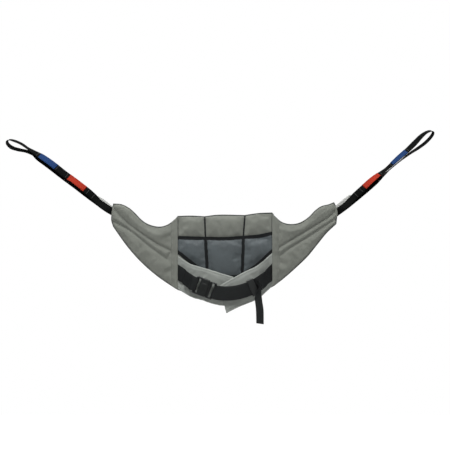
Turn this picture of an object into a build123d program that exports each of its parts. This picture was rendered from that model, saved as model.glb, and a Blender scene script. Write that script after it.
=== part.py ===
"""A padded standing-transfer sling, hung by its two looped straps.

A flat back panel carries three foam channels faced with grey fabric above and spacer mesh below.
A wing is sewn to each side of it along an upright seam, and a daisy-chain strap with white, red and
blue loops leaves each wing's tip. A padded waist belt in two overlapping halves, closed by a
side-release buckle, hangs as a bow in front of the back panel.

Millimetres, +Z up, +X to the right of somebody who faces the inner side, +Y away from them.
The origin is the middle of the back panel, on its outer face.
"""
from build123d import *
import os
from math import asin, atan2, cos, degrees, hypot, radians, sin, sqrt

# ---- driving dimensions ----
SEAM_X = 178.0              # from the middle to each upright seam, the wings' hinge line
SEAM_GAP = 8.5              # from a seam to the padding on either side of it
COVER = 1.2                 # cover fabric
FOAM = 12.0                 # foam in the back panel and the wings
PAD = FOAM + 2 * COVER      # whole thickness of a panel
MESH = 2.2                  # spacer mesh
TAPE = 1.2                  # binding and channel tape
PANEL_TOP = 152.0
PANEL_SIDE_LOW = -130.0     # lower corners of the back panel
PANEL_LOW = -158.0          # middle of its lower edge
CHANNEL_X = 70.0            # stitched channels between the three foams
CHANNEL_GAP = 4.0
MESH_TOP = 70.0             # where the grey top band meets the mesh
MESH_SIDE_LOW = 10.0        # lower edge of the mesh at the sides
MESH_LOW = -79.0            # and in the middle
TAPE_WIDTH = 10.0

WING_TIP_X = 411.0
SLEEVE_IN = (206.0, 12.0)   # middle of the wing's webbing sleeve, at its inner end
SLEEVE_WIDTH = 30.0
EXIT = (414.0, 163.0)       # where the strap leaves the wing's tip

WEB = 2.2                   # webbing thickness
STRAP_WIDTH = 25.0
STRAP_OFFSET = 3.5          # each leg of the strap lies this far off its middle line
LEG_GAP = 0.6               # between the two legs
STRAP_END = STRAP_WIDTH / 2 + STRAP_OFFSET      # radius that the strap's sewn end sweeps
PIVOT_RUN = 26.0            # from the wing's edge to where the strap bends
LOOP_RADIUS = 10.0          # inside radius of the loop's end, where a lift's hook sits

BELT_WIDTH = 50.0
BELT_AXIS_Y = 342.0         # the belt bows forward as part of a cylinder about this upright line
BELT_IN_R = 400.0           # radius of the belt's inner face
BELT_COVER = 1.0
BELT_FOAM = 6.0
BELT_PAD = BELT_FOAM + 2 * BELT_COVER
BELT_PAD_GAP = 0.6          # between the left and the right pad where they overlap
BELT_END_X = 170.0
WEB_ARC_X, WEB_ARC_Z, WEB_ARC_R = 1.0, 105.0, 238.0     # seen from the front, the webbing follows this arc
BUCKLE_R = 417.6            # the buckle's back face
WEB_REAR_R = BUCKLE_R + 5.0                 # the belt webbing's rear layer
WEB_FRONT_R = BUCKLE_R + 10.8               # and its doubled-back front layer
BUCKLE_X = -72.0
BUCKLE_Z = -114.0
BUCKLE_SLOPE = -21.0        # degrees, along the belt
KEEPER_X = 100.0
KEEPER_SLOPE = 24.0

MID_Y = -PAD / 2            # the panels' middle plane
OUT = "parts"


def save(name, shape):
    """Write one node as STEP."""
    solids = shape.solids() if hasattr(shape, "solids") else [shape]
    whole = solids[0] if len(solids) == 1 else Compound(children=list(solids))
    export_step(whole, f"{OUT}/{name}.step")


def slab(face, y0, y1):
    """A face drawn in X and Z, filled from y0 to y1."""
    return extrude(Pos(0, y1, 0) * face, amount=y1 - y0, dir=(0, -1, 0))


def flat_face(*edges):
    """A face in the XZ plane from joined edges."""
    return make_face(Wire(edges))


def p3(x, z):
    return Vector(x, 0, z)


def line(a, b):
    return Edge.make_line(p3(*a), p3(*b))


def arc(a, b, c):
    return Edge.make_three_point_arc(p3(*a), p3(*b), p3(*c))


def curve(points):
    return Edge.make_spline([p3(*p) for p in points])


def rectangle(x0, x1, z0, z1):
    return flat_face(
        line((x0, z0), (x1, z0)), line((x1, z0), (x1, z1)),
        line((x1, z1), (x0, z1)), line((x0, z1), (x0, z0)),
    )


def both_sides(name, shape):
    """Write a wing's piece for the right side and its mirror image for the left."""
    save(f"{name}_right", shape)
    save(f"{name}_left", mirror(shape, about=Plane.YZ))


# ---- back panel ----
def panel_outline():
    x = SEAM_X - SEAM_GAP
    return flat_face(
        line((-x, PANEL_TOP), (-x, PANEL_SIDE_LOW)),
        arc((-x, PANEL_SIDE_LOW), (0, PANEL_LOW), (x, PANEL_SIDE_LOW)),
        line((x, PANEL_SIDE_LOW), (x, PANEL_TOP)),
        line((x, PANEL_TOP), (-x, PANEL_TOP)),
    )


def below_mesh():
    """The area under the mesh's curved lower edge."""
    x = SEAM_X
    rise = (SEAM_X / (SEAM_X - SEAM_GAP)) ** 2
    side = MESH_LOW + (MESH_SIDE_LOW - MESH_LOW) * rise
    low = PANEL_LOW - TAPE_WIDTH
    return flat_face(
        arc((-x, side), (0, MESH_LOW), (x, side)),
        line((x, side), (x, low)), line((x, low), (-x, low)), line((-x, low), (-x, side)),
    )


def back_panel():
    outline = panel_outline()
    under = below_mesh()
    side = SEAM_X - SEAM_GAP
    half_gap = CHANNEL_GAP / 2
    channels = {
        "left": (-side, -CHANNEL_X - half_gap),
        "centre": (-CHANNEL_X + half_gap, CHANNEL_X - half_gap),
        "right": (CHANNEL_X + half_gap, side),
    }
    save("back_outer_cover", slab(outline, -COVER, 0))
    front = -COVER - FOAM
    for name, (x0, x1) in channels.items():
        column = rectangle(x0, x1, PANEL_LOW - 1, PANEL_TOP)
        save(f"back_foam_{name}", slab(outline & column, front, -COVER))
        top = rectangle(x0, x1, MESH_TOP, PANEL_TOP)
        save(f"top_cover_{name}", slab(top, front - COVER, front))
        mesh = rectangle(x0, x1, MESH_LOW - TAPE_WIDTH, MESH_TOP - 0.2) - under
        save(f"mesh_{name}", slab(mesh, front - MESH, front))
    lowered = Pos(0, 0, -0.2) * under
    save("lower_cover", slab(outline & lowered, front - COVER, front))
    on_top = front - MESH
    half = TAPE_WIDTH / 2
    save("mesh_top_binding", slab(
        rectangle(-side, side, MESH_TOP - half, MESH_TOP + half), on_top - TAPE, on_top))
    curved = (Pos(0, 0, half) * under) - (Pos(0, 0, -half) * under)
    strip = curved & rectangle(-side, side, PANEL_LOW, MESH_TOP - half - 0.2)
    save("mesh_bottom_binding", slab(strip, on_top - TAPE, on_top))
    for name, x in (("left", -CHANNEL_X), ("right", CHANNEL_X)):
        tape = rectangle(x - half, x + half, MESH_LOW, MESH_TOP - half - 0.2) - (Pos(0, 0, half + 0.2) * under)
        save(f"channel_tape_{name}", slab(tape, on_top - TAPE, on_top))
    seam = rectangle(side + 0.1, SEAM_X - 1.0, PANEL_SIDE_LOW + 4, PANEL_TOP - 6)
    strip = slab(seam, MID_Y - TAPE / 2, MID_Y + TAPE / 2)
    save("panel_seam_right", strip)
    save("panel_seam_left", mirror(strip, about=Plane.YZ))


# ---- wings ----
WING_IN = SEAM_X + SEAM_GAP
WING_TOP_IN = 139.0
WING_LOW_IN = -118.0
WING_CORNER = (407.0, 195.0)
WING_LOW_TIP = (WING_TIP_X, 114.0)


def wing_outline():
    """The right wing: a scooped top edge, a blunt tip and a bowed lower edge."""
    scoop = arc((WING_IN, WING_TOP_IN), (246, 112.5), (326, 154))
    shoulder = Edge.make_tangent_arc(p3(326, 154), scoop % 1, p3(*WING_CORNER))
    return flat_face(
        scoop,
        shoulder,
        arc(WING_CORNER, (415.5, 150), WING_LOW_TIP),
        arc(WING_LOW_TIP, (302, -14), (WING_IN, WING_LOW_IN)),
        line((WING_IN, WING_LOW_IN), (WING_IN, WING_TOP_IN)),
    )


def sleeve_band(extra=0.0, start=0.0, stop=40.0):
    """The straight band between the sleeve's two rows of stitching."""
    dx, dz = EXIT[0] - SLEEVE_IN[0], EXIT[1] - SLEEVE_IN[1]
    long = hypot(dx, dz)
    face = Plane(origin=(SLEEVE_IN[0], 0, SLEEVE_IN[1]), x_dir=(dx, 0, dz), z_dir=(0, -1, 0))
    width = SLEEVE_WIDTH + extra
    run = long + stop - start
    return face * Pos(start + run / 2, 0, 0) * Rectangle(run, width)


def wings():
    outline = wing_outline()
    band = sleeve_band()
    front = -COVER - FOAM
    pivot = strap_pivot(RIGHT_STRAP)
    clear = Pos(pivot.X, 0, pivot.Z) * Rot(90, 0, 0) * Cylinder(STRAP_END + 1.0, 80)
    both_sides("wing_outer_cover", slab(outline, -COVER, 0) - clear)
    both_sides("wing_inner_cover", slab(outline, front - COVER, front) - clear)
    wide = sleeve_band(extra=0.4, start=-0.2)
    above = rectangle(WING_IN, WING_TIP_X + 10, -140, 220)
    rest = slab(outline & above, front, -COVER) - slab(wide, front - 1, 1)
    both_sides("wing_foam", rest - clear)
    sleeve = slab(outline & band, front, -COVER)
    inside = STRAP_WIDTH - SLEEVE_WIDTH + 0.6
    core = slab(sleeve_band(extra=inside, start=7.6), MID_Y - 3.0, MID_Y + 3.0)
    both_sides("sleeve_foam", sleeve - core - clear)
    anchor = sleeve_band(extra=STRAP_WIDTH - SLEEVE_WIDTH, start=8.0, stop=PIVOT_RUN - 31.0)
    legs = slab(anchor, MID_Y - LEG_GAP / 2 - WEB, MID_Y + LEG_GAP / 2 + WEB)
    both_sides("anchor_webbing", legs - clear)
    ring = offset(outline, amount=2.0) - outline
    ring = ring & rectangle(WING_IN, WING_TIP_X + 20, -140, 220)
    edge = slab(ring, MID_Y - 2.4, MID_Y + 2.4)
    gate = slab(sleeve_band(extra=8.0, start=150), -PAD, 0)
    both_sides("wing_edge_binding", edge - gate - clear)
    seam = rectangle(SEAM_X + 1.0, WING_IN - 0.1, WING_LOW_IN + 6, WING_TOP_IN - 6)
    both_sides("wing_seam", slab(seam, MID_Y - TAPE / 2, MID_Y + TAPE / 2))


# ---- looped straps ----
class StrapShape:
    """How one strap lies: a doubled run, then its open end loop."""

    def __init__(self, slope, run, twist, loop_slope, loop):
        self.slope = slope              # degrees above level
        self.run = run                  # length of the doubled run
        self.twist = twist              # over which each leg turns from flat to edge-on, at the run's end
        self.loop_slope = loop_slope
        self.loop = loop                # length of the open loop


RIGHT_STRAP = StrapShape(39.3, 216.0, 40.0, 39.3, 246.0)
LEFT_STRAP = StrapShape(37.0, 370.0, 26.0, 24.0, 100.0)
TWIST_STEPS = 6
TAB = 1.4                               # coloured webbing sewn over the black
WHITE = (8.0, 76.0)
RED = (134.0, 208.0)
BLUE = (268.0, 340.0)
TACKS = (92.0, 118.0, 212.0)


def strap_plane(shape):
    a = radians(shape.slope)
    return Plane(origin=(EXIT[0], MID_Y, EXIT[1]), x_dir=(cos(a), 0, sin(a)), z_dir=(0, -1, 0))


def strap_pivot(shape):
    return strap_plane(shape).from_local_coords(Vector(PIVOT_RUN, 0, 0))


def leg(u0, u1, v, w, width=STRAP_WIDTH, thick=WEB):
    """A flat stretch of webbing in the strap's own frame: u along, v across, w towards the viewer."""
    return Pos((u0 + u1) / 2, v, w) * Box(u1 - u0, width, thick)


def turned(u, v, w, turn, width=STRAP_WIDTH, thick=WEB):
    """A webbing section at u, turned about its own length."""
    face = Plane(origin=(u, v, w), x_dir=(0, cos(turn), sin(turn)), z_dir=(1, 0, 0))
    return face * Rectangle(width, thick)


def twisting_leg(u0, u1, v0, v1, w0):
    """A leg that turns from flat to edge-on while it moves to v1 and the middle plane."""
    sections = []
    for i in range(TWIST_STEPS + 1):
        t = i / TWIST_STEPS
        sections.append(turned(u0 + (u1 - u0) * t, v0 + (v1 - v0) * t, w0 * (1 - t), radians(-90 * t)))
    return loft(sections, ruled=True)


def end_loop(long, mouth):
    """The open loop in its own frame: its legs start mouth apart at u=0 and meet round the hook's seat."""
    centre = long - LOOP_RADIUS - WEB
    outer_r = LOOP_RADIUS + WEB
    half = mouth / 2 + WEB
    lean = asin((outer_r - half) / sqrt(centre ** 2 + (outer_r - half) ** 2))
    profile = None
    for r, start in ((outer_r, half), (LOOP_RADIUS, mouth / 2)):
        tx, ty = centre - r * sin(lean), r * cos(lean)
        outline = Wire([
            Edge.make_line((0, -start, 0), (0, start, 0)),
            Edge.make_line((0, start, 0), (tx, ty, 0)),
            Edge.make_three_point_arc((tx, ty, 0), (centre + r, 0, 0), (tx, -ty, 0)),
            Edge.make_line((tx, -ty, 0), (0, -start, 0)),
        ])
        face = make_face(outline)
        profile = face if profile is None else profile - face
    return extrude(Pos(0, 0, -STRAP_WIDTH / 2) * profile, amount=STRAP_WIDTH)


def strap(shape, side):
    """One strap's nodes, made for the right side and mirrored if it is the left one."""
    place = strap_plane(shape)
    w = LEG_GAP / 2 + WEB / 2
    flat_end = shape.run - shape.twist
    mouth = 1.0
    v_loop = mouth / 2 + WEB / 2
    webbing = None
    for v, level, aim in ((STRAP_OFFSET, w, v_loop), (-STRAP_OFFSET, -w, -v_loop)):
        flat = leg(PIVOT_RUN, flat_end, v, level)
        end = Pos(PIVOT_RUN, v, level) * Cylinder(STRAP_WIDTH / 2, WEB)
        piece = flat + end + twisting_leg(flat_end, shape.run, v, aim, level)
        webbing = piece if webbing is None else webbing + piece
    bend = Pos(shape.run, 0, 0) * Rot(0, 0, shape.loop_slope - shape.slope)
    elbow = Pos(shape.run, 0, 0) * Cylinder(v_loop + WEB / 2 + 0.6, STRAP_WIDTH - 0.4)
    webbing = webbing + elbow + bend * end_loop(shape.loop, mouth)
    pieces = {"strap_webbing": webbing}
    rear = -w - WEB / 2 - 0.2
    pieces["white_loop"] = leg(PIVOT_RUN + 1, WHITE[1], 7.0, rear - TAB / 2, thick=TAB)
    front = w + WEB / 2
    pieces["red_loop"] = leg(RED[0], min(RED[1], flat_end - 1), STRAP_OFFSET, front + TAB / 2, thick=TAB)
    pieces["blue_loop"] = blue_tab(shape, flat_end, bend, mouth, front)
    tacks = [
        leg(u, u + 3, STRAP_OFFSET, front + 0.4, width=STRAP_WIDTH - 4, thick=0.8)
        for u in TACKS if u + 3 < flat_end
    ]
    pieces["strap_bar_tacks"] = Compound(children=tacks)
    for name, solid in pieces.items():
        placed = place * solid
        if side == "left":
            placed = mirror(placed, about=Plane.YZ)
        save(f"{name}_{side}", placed)


def blue_tab(shape, flat_end, bend, mouth, front):
    """The blue webbing, on the flat run if it reaches that far and on the open loop's upper leg if not."""
    if flat_end > BLUE[0] + 15:
        return leg(BLUE[0], BLUE[1], STRAP_OFFSET, front + TAB / 2, thick=TAB)
    u0, u1 = BLUE[0] - shape.run, BLUE[1] - shape.run
    centre = shape.loop - LOOP_RADIUS - WEB
    rise = (LOOP_RADIUS - mouth / 2) / centre
    lift = mouth / 2 + WEB + rise * (u0 + u1) / 2 + TAB / 2 + 0.3
    plate = Rot(0, 0, degrees(atan2(rise, 1))) * Box(u1 - u0, TAB, STRAP_WIDTH)
    return bend * Pos((u0 + u1) / 2, lift, 0) * plate


# ---- waist belt ----
def shell(r0, r1):
    """A tall upright ring between two radii about the belt's axis, kept to its forward side."""
    tall = 500
    ring = Cylinder(r1, tall) - Cylinder(r0, tall)
    keep = Pos(0, -r1, 0) * Box(2 * BELT_END_X + 20, 2 * r1, tall)
    return Pos(0, BELT_AXIS_Y, -50) * (ring & keep)


def on_shell(face, r0, r1):
    """A face drawn in X and Z, laid on the belt's bow between two radii."""
    return slab(face, -200, 0) & shell(r0, r1)


def circle_through(a, b, c):
    """Centre and radius of the circle through three points."""
    (ax, az), (bx, bz), (cx, cz) = a, b, c
    d = 2 * (ax * (bz - cz) + bx * (cz - az) + cx * (az - bz))
    aa, bb, cc = ax * ax + az * az, bx * bx + bz * bz, cx * cx + cz * cz
    x = (aa * (bz - cz) + bb * (cz - az) + cc * (az - bz)) / d
    z = (aa * (cx - bx) + bb * (ax - cx) + cc * (bx - ax)) / d
    return (x, z), hypot(ax - x, az - z)


def band(a, b, c, width=BELT_WIDTH):
    """A strip of that width along the arc through three points."""
    (x, z), r = circle_through(a, b, c)
    rim = []
    for radius in (r - width / 2, r + width / 2):
        rim.append([(x + (px - x) * radius / r, z + (pz - z) * radius / r) for px, pz in (a, b, c)])
    inner, outer = rim
    return flat_face(
        arc(*inner), line(inner[2], outer[2]), arc(outer[2], outer[1], outer[0]), line(outer[0], inner[0]),
    )


def left_pad_outline():
    x = -BELT_END_X
    return flat_face(
        curve([(x, 12), (-123, -28), (-69, -43), (33, -74)]),
        line((33, -74), (40, -100)), line((40, -100), (34, -184)),
        curve([(34, -184), (-31, -177), (-88, -160), (x, -124)]),
        line((x, -124), (x, 12)),
    )


def right_pad_outline():
    x = BELT_END_X
    return flat_face(
        curve([(x, 14), (118, -32), (65, -57), (-18, -104)]),
        line((-18, -104), (1, -198)), arc((1, -198), (3, -206), (11, -207)),
        curve([(11, -207), (52, -184), (115, -158), (x, -122)]),
        line((x, -122), (x, 14)),
    )


def belt_pads():
    r = BELT_IN_R
    for side, outline in (("left", left_pad_outline()), ("right", right_pad_outline())):
        save(f"belt_inner_cover_{side}", on_shell(outline, r, r + BELT_COVER))
        save(f"belt_foam_{side}", on_shell(outline, r + BELT_COVER, r + BELT_COVER + BELT_FOAM))
        save(f"belt_outer_cover_{side}", on_shell(outline, r + BELT_PAD - BELT_COVER, r + BELT_PAD))
        r += BELT_PAD + BELT_PAD_GAP


def web_z(x):
    """Height of the belt webbing's middle line."""
    return WEB_ARC_Z - sqrt(WEB_ARC_R ** 2 - (x - WEB_ARC_X) ** 2)


def bow_y(x, r):
    """Depth of the bow of radius r."""
    return BELT_AXIS_Y - sqrt(r ** 2 - x ** 2)


def on_strip(face, a, b, c):
    """A face drawn in X and Z, laid on a webbing-thick strip whose rear follows an arc through three XY points."""
    (x, y), r = circle_through(a, b, c)
    ring = Cylinder(r + WEB, 500) - Cylinder(r, 500)
    return slab(face, -200, 0) & (Pos(x, y, -50) * ring)


def tangent_plane(x, z, r, slope):
    """A frame on the belt's bow: x along the belt, y across it and z out towards the viewer."""
    turn = asin(x / r)
    out = Vector(sin(turn), -cos(turn), 0)
    level = Vector(cos(turn), sin(turn), 0)
    a = radians(slope)
    along = level * cos(a) + Vector(0, 0, 1) * sin(a)
    origin = Vector(r * sin(turn), BELT_AXIS_Y - r * cos(turn), z)
    return Plane(origin=origin, x_dir=along, z_dir=out)


# The buckle's own frame: u along the belt, v across it, w from its back face.
B_HALF = 32.5               # half its width
B_THICK = 14.0
BAR_HALF = 26.5             # half the webbing slot's length
BAR_W = (5.6, 8.4)          # the webbing bars' height
SOCKET_U = -40.0            # the socket's end that takes the sewn webbing
MOUTH_U = 10.0              # the socket's mouth
PLUG_U = 38.0               # the plug's end that takes the doubled webbing
STOP_U = -12.0              # the bottom of the socket
SOCKET_V = 28.6
SOCKET_W = (3.0, 11.0)
PRONG_IN_V, PRONG_OUT_V = 17.0, 22.0
PRONG_PIVOT = (12.0, 19.5)
HEAD_U = (-9.0, 0.5)
WINDOW_U = (-10.0, 1.3)


def block(u0, u1, v0, v1, w0, w1):
    return Pos((u0 + u1) / 2, (v0 + v1) / 2, (w0 + w1) / 2) * Box(u1 - u0, v1 - v0, w1 - w0)


def rounded(shape, radius):
    """Round the edges that stand square to the buckle's face."""
    return fillet(shape.edges().filter_by(Axis.Z), radius)


def soften(shape, pick, radius):
    """Round the chosen edges, or leave the shape as it is if they can't take that radius."""
    try:
        return fillet(pick(shape), radius)
    except ValueError:
        return shape


def rim_of(axis):
    """The edges round a shape's highest face along an axis."""
    return lambda shape: shape.faces().sort_by(axis)[-1].edges()


def buckle_socket():
    body = rounded(block(SOCKET_U, MOUTH_U, -B_HALF, B_HALF, 0, B_THICK), 5)
    body = soften(body, rim_of(Axis.Z), 2.5)
    body = soften(body, lambda b: b.faces().sort_by(Axis.Z)[0].edges(), 1.0)
    crown = rounded(block(-18, MOUTH_U - 3, -15, 15, B_THICK - 1, B_THICK + 1.0), 3)
    body += soften(crown, rim_of(Axis.Z), 0.8)
    for v in (-7.0, 0.0, 7.0):
        body -= block(-13, 3, v - 1.0, v + 1.0, B_THICK + 0.4, B_THICK + 2)
    body -= block(STOP_U, MOUTH_U + 1, -SOCKET_V, SOCKET_V, *SOCKET_W)
    for s in (-1, 1):
        v0, v1 = sorted((s * (SOCKET_V - 1), s * (B_HALF + 1)))
        body -= block(*WINDOW_U, v0, v1, *SOCKET_W)
    body -= rounded(block(SOCKET_U + 7, SOCKET_U + 18, -BAR_HALF, BAR_HALF, -1, B_THICK + 1), 1.5)
    body -= block(SOCKET_U - 1, SOCKET_U + 7.1, -BAR_HALF, BAR_HALF, -1, BAR_W[0])
    body -= block(SOCKET_U - 1, SOCKET_U + 7.1, -BAR_HALF, BAR_HALF, BAR_W[1], B_THICK + 1)
    return body


def buckle_plug():
    base = rounded(block(MOUTH_U + 0.5, PLUG_U, -B_HALF + 1, B_HALF - 1, 1.0, 13.0), 5)
    base = soften(base, rim_of(Axis.Z), 2.0)
    base -= rounded(block(21, 33, -BAR_HALF, BAR_HALF, 0, 14), 1.5)
    base -= block(32.9, PLUG_U + 1, -BAR_HALF, BAR_HALF, 0, BAR_W[0])
    base -= block(32.9, PLUG_U + 1, -BAR_HALF, BAR_HALF, BAR_W[1], 14)
    for u in (13.2, 16.0, 18.8):
        base -= block(u - 0.6, u + 0.6, -22, 22, 12.3, 14)
    base += block(STOP_U + 2, MOUTH_U + 1, -7, 7, SOCKET_W[0] + 1.5, SOCKET_W[1] - 1.5)
    for s in (-1, 1):
        base -= Pos(PRONG_PIVOT[0], s * PRONG_PIVOT[1], 7) * Box(5.4, 8.4, 8.4)
    return base


def buckle_prong(s):
    """An elastic arm with its catch and thumb button; s is 1 for the upper and -1 for the lower."""
    w0, w1 = SOCKET_W[0] + 1.0, SOCKET_W[1] - 1.0
    v0, v1 = sorted((s * PRONG_IN_V, s * PRONG_OUT_V))
    arm = block(HEAD_U[1] - 1, PRONG_PIVOT[0] - 1.0, v0, v1, w0, w1)
    h0, h1 = sorted((s * PRONG_IN_V, s * (B_HALF - 0.8)))
    head = block(*HEAD_U, h0, h1, w0, w1)
    root = Pos(PRONG_PIVOT[0] - 0.6, s * PRONG_PIVOT[1], (w0 + w1) / 2) * Cylinder(1.6, w1 - w0)
    return arm + head + root


def buckle():
    place = tangent_plane(BUCKLE_X, BUCKLE_Z, BUCKLE_R, BUCKLE_SLOPE)
    save("buckle_socket", place * buckle_socket())
    save("buckle_plug", place * buckle_plug())
    save("buckle_prong_upper", place * buckle_prong(1))
    save("buckle_prong_lower", place * buckle_prong(-1))
    return place


def wrap(u_open, u_turn):
    """Webbing round a buckle's bar, in the buckle's frame: a rear and a front layer, and the turn in the slot."""
    u0, u1 = sorted((u_open, u_turn))
    half = BELT_WIDTH / 2 + 0.4
    step = 0.4
    rear = block(u0, u1, -half, half, BAR_W[0] - step - WEB, BAR_W[0] - step)
    front = block(u0, u1, -half, half, BAR_W[1] + step, BAR_W[1] + step + WEB)
    t0, t1 = (u1 - WEB, u1) if u_turn > u_open else (u0, u0 + WEB)
    return rear + front + block(t0, t1, -half, half, BAR_W[0] - step - WEB, BAR_W[1] + step + WEB)


def belt_webbing(place):
    rear = (WEB_REAR_R, WEB_REAR_R + WEB)
    front = (WEB_FRONT_R, WEB_FRONT_R + WEB)
    root = BELT_END_X - 2
    meet = bow_y(117, WEB_REAR_R + 0.6)
    pad = bow_y(root, BELT_IN_R + BELT_PAD + 1.2)
    left_side = rectangle(-BELT_END_X, 0, -200, 50)
    face = band((-186, -45), (-145, -78.5), (-117, -96)) & left_side
    left = on_strip(face, (-root, pad), (-143, (pad + meet) / 2 - 2), (-117, meet))
    save("belt_webbing_left", left + place * wrap(-50, SOCKET_U + 9.6))
    right_pad = bow_y(root, BELT_IN_R + 2 * BELT_PAD + BELT_PAD_GAP + 0.7)
    meet = bow_y(128, WEB_REAR_R)
    right_side = rectangle(0, BELT_END_X, -200, 50)
    face = band((128, web_z(128)), (150, web_z(150)), (186, web_z(186))) & right_side
    right = on_strip(face, (128, meet), (150, (meet + right_pad) / 2 - 1.5), (root, right_pad))
    save("belt_webbing_right", right)
    loop_rear = on_shell(band((-34, web_z(-34)), (40, web_z(40)), (127.6, web_z(127.6))), *rear)
    loop_front = on_shell(band((-34, web_z(-34)), (40, web_z(40)), (114, web_z(114))), *front)
    turn = place * wrap(44, 29.4)
    save("belt_loop_webbing", loop_rear + turn + loop_front)


def keeper():
    """The plastic loop that holds the belt's two layers together."""
    wall, half, run = 1.6, 27.4, 24.0
    low, high = -3.6, WEB_FRONT_R + WEB + 1.4 - WEB_REAR_R
    outer = block(-run / 2, run / 2, -half - 3, half + 3, low, high + wall)
    outer = fillet(outer.edges().filter_by(Axis.X), 1.5)
    inner = block(-run, run, -half, half, low + wall, high)
    return keeper_plane() * (outer - inner)


def keeper_plane():
    return tangent_plane(KEEPER_X, web_z(KEEPER_X), WEB_REAR_R, KEEPER_SLOPE)


TAIL_TOP = Vector(120, -104, -104)
TAIL_LOW = Vector(127, -104, -242)
TAIL_TURN = 60.0            # degrees from edge-on that the hanging tail has turned at its end


def tail():
    """The belt's free end, hanging edge-on from its bend and turning as it falls."""
    run = TAIL_LOW - TAIL_TOP
    steps = 6
    sections = []
    for i in range(steps + 1):
        t = i / steps
        turn = radians(90 - (90 - TAIL_TURN) * min(1.0, 1.6 * t))
        across = Vector(cos(turn), -sin(turn), 0)
        face = Plane(origin=TAIL_TOP + run * t, x_dir=across, z_dir=(0, 0, -1))
        sections.append(face * Rectangle(BELT_WIDTH, WEB))
    return loft(sections, ruled=True)


def main():
    os.makedirs(OUT, exist_ok=True)
    back_panel()
    wings()
    strap(RIGHT_STRAP, "right")
    strap(LEFT_STRAP, "left")
    belt_pads()
    place = buckle()
    belt_webbing(place)
    save("webbing_keeper", keeper())
    save("belt_tail", tail())
    for name, shape in (("right", RIGHT_STRAP), ("left", LEFT_STRAP)):
        pivot = strap_pivot(shape)
        tip = strap_plane(shape).from_local_coords(Vector(shape.run, 0, 0))
        a = radians(shape.loop_slope)
        seat = tip + Vector(cos(a), 0, sin(a)) * (shape.loop - LOOP_RADIUS - WEB)
        print(name, "pivot", pivot, "hook seat", seat)
    print("buckle", place.origin, "along", place.x_dir, "across", place.y_dir, "out", place.z_dir)
    for s in (1, -1):
        print("prong pivot", place.from_local_coords(Vector(PRONG_PIVOT[0] - 0.6, s * PRONG_PIVOT[1], 7)))
    k = keeper_plane()
    print("keeper", k.origin, "along", k.x_dir)


main()
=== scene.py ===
"""The looks of the padded transfer sling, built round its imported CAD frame.

X runs across the sling, Z is up and -Y faces the viewer. Lengths are in millimetres until a mesh is made.
"""

import math

import bpy
import numpy as np
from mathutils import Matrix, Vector
from mathutils.bvhtree import BVHTree
from mathutils.geometry import delaunay_2d_cdt


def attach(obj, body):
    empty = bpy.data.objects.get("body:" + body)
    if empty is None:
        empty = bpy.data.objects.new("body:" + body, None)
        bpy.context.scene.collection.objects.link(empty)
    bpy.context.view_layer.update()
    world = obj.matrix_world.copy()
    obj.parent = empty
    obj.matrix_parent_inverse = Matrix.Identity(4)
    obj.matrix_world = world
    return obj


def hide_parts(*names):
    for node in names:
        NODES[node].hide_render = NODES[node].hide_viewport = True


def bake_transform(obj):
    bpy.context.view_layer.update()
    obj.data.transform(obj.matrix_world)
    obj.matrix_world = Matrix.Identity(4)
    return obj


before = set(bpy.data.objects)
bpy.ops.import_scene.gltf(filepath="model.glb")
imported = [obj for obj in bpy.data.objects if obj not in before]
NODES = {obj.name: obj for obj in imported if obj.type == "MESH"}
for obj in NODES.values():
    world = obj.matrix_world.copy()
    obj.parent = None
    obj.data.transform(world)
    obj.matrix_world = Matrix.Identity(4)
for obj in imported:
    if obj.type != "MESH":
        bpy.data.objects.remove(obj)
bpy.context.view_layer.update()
MM = 0.001
rng = np.random.default_rng(11)

# The frame's own dimensions, as in the CAD.
MID_Y = -7.2                            # the middle plane of the panel and the wings
BELT_AXIS_Y = 342.0                     # the upright axis that the belt bows round
EXIT = np.array([414.0, 163.0])         # X and Z where a strap leaves its wing's tip
SIGN = {"left": -1, "right": 1}         # the sides of the photograph, along X
BUCKLE_X, BUCKLE_Z, BUCKLE_R = -72.0, -114.0, 417.6
BUCKLE_TILT = math.radians(21)


# ---------------------------------------------------------------- lines and meshes
def unit(v):
    v = np.asarray(v, float)
    return v / np.maximum(np.linalg.norm(v, axis=-1, keepdims=True), 1e-9)


RUN_STEPS = 24                  # points on a smooth line between two of the points it passes through


def through(points):
    """A smooth line through the points."""
    p = np.asarray(points, float)
    ext = np.vstack([2 * p[0] - p[1], p, 2 * p[-1] - p[-2]])
    t = np.linspace(0, 1, RUN_STEPS + 1)[:-1, None]
    runs = []
    for i in range(1, len(ext) - 2):
        a, b, c, d = ext[i - 1:i + 3]
        runs.append(0.5 * (2 * b + (c - a) * t + (2 * a - 5 * b + 4 * c - d) * t ** 2
                           + (3 * b - a - 3 * c + d) * t ** 3))
    return np.vstack(runs + [p[-1:]])


def spline(points, step):
    """The same line with evenly spaced points, about a step apart."""
    return even(through(points), step)


def even(line, step):
    """The same line with evenly spaced points."""
    line = np.asarray(line, float)
    at = lengths(line)
    n = max(2, int(round(at[-1] / step)) + 1)
    return read_at(np.linspace(0, at[-1], n), at, line)


def lengths(line):
    """How far along the line each of its points is."""
    return np.concatenate([[0], np.cumsum(np.linalg.norm(np.diff(line, axis=0), axis=1))])


def read_at(want, at, values):
    """Rows of values given at some lengths, read at the wanted lengths."""
    return np.stack([np.interp(want, at, column) for column in values.T], axis=1)


def tangents(line):
    return unit(np.gradient(np.asarray(line, float), axis=0))


def beside(line, gap):
    """The line drawn in X and Z, shifted to its left."""
    t = tangents(line)
    return line + np.stack([-t[:, 1], t[:, 0]], axis=1) * gap


def loop_of(*runs):
    """One closed outline from runs that meet end to end."""
    return np.vstack([run[:-1] for run in runs])


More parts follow.
